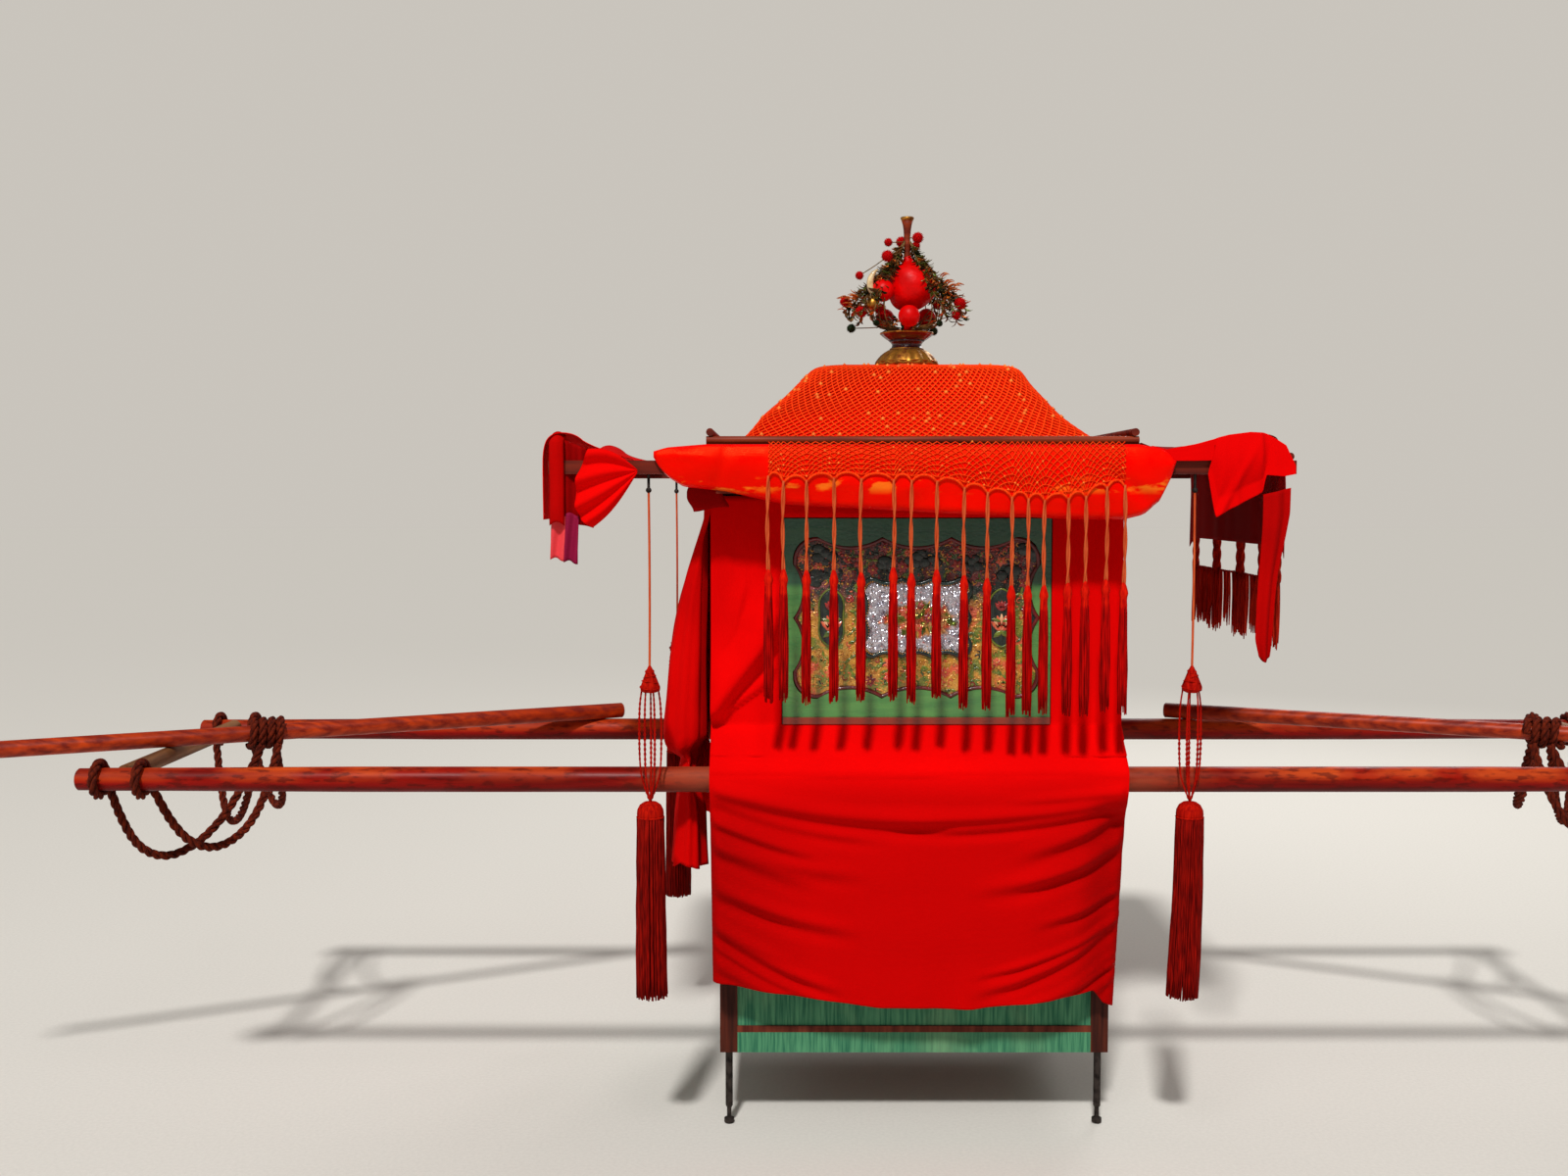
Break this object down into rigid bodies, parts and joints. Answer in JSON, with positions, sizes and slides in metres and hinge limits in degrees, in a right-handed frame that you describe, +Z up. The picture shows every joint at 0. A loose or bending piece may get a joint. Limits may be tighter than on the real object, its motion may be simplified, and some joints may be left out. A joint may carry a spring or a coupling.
{
  "type": "palanquin",
  "caption": "Bridal sedan chair: a curtained wooden cabin with a hipped roof, slung between carrying shafts, with rope slings, shoulder poles and hanging tassels.",
  "frame": {"origin": "on the floor, under the middle of the chair's length and width", "axes": "+X forward along the shafts, +Y to the far side, the chair's left, +Z up"},
  "size_m": [4.6028, 0.902, 2.0258],
  "materials": {
    "iron": "forged, darkened",
    "frame_wood": "dark stained",
    "green_paint": "painted green, faded",
    "painted_relief": "carved, painted and varnished",
    "red_lacquer": "worn red lacquer",
    "bare_wood": "bare, handled smooth",
    "rope": "twisted dyed cord",
    "tassel_thread": "dyed thread",
    "net": "knotted cord net",
    "red_cloth": "plain woven cloth",
    "antique_gold": "aged gilding",
    "red_ball": "gloss",
    "pompom": "wool balls on wire"
  },
  "bodies": {
    "chair": {"corner_posts": "frame_wood", "cross_rods": "frame_wood", "crossbars": "bare_wood", "curtain_rod": "frame_wood", "door_curtain": "red_cloth", "eave_beams": "frame_wood", "eave_side_rods": "frame_wood", "eave_tray": "frame_wood", "far_cover": "red_cloth", "far_shaft": "red_lacquer", "far_window_frame": "green_paint", "far_window_panel": "painted_relief", "finial_ball": "red_ball", "finial_base": "antique_gold", "finial_spire": "antique_gold", "finial_spray": "pompom", "floor_board": "frame_wood", "floor_rails": "frame_wood", "front_awning": "red_cloth", "front_far_tassel_string": "tassel_thread", "front_fringe": "tassel_thread", "front_near_tassel_string": "tassel_thread", "front_sling_far_inner": "rope", "front_sling_far_outer": "rope", "front_sling_near_inner": "rope", "front_sling_near_outer": "rope", "front_step_board": "green_paint", "iron_feet": "iron", "long_tassels": "tassel_thread", "lower_panels": "green_paint", "near_cover": "red_cloth", "near_shaft": "red_lacquer", "near_window_frame": "green_paint", "near_window_panel": "painted_relief", "pole_lashings": "rope", "rear_cloth": "red_cloth", "rear_curtain": "red_cloth", "rear_far_tassel_string": "tassel_thread", "rear_near_tassel_string": "tassel_thread", "rear_sling_far_inner": "rope", "rear_sling_far_outer": "rope", "rear_sling_near_inner": "rope", "rear_sling_near_outer": "rope", "roof_net": "net", "roof_shell": "frame_wood", "seat_box": "frame_wood", "seat_cushion": "red_cloth", "shaft_brackets": "frame_wood", "shaft_lashings": "rope", "shoulder_poles": "red_lacquer", "side_fringes": "tassel_thread", "tassel_hooks": "iron", "top_cross_rails": "frame_wood", "top_side_rails": "frame_wood", "upper_walls": "green_paint", "valances": "red_cloth", "waist_rails": "frame_wood"},
    "curtain": {"hem_bar": "frame_wood"}
  },
  "joints": [
    {"name": "curtain_lift", "type": "slide", "parent": "chair", "child": "curtain", "axis": [0, 0, 1], "range_m": [0, 0.78], "deforming": ["door_curtain"]}
  ]
}
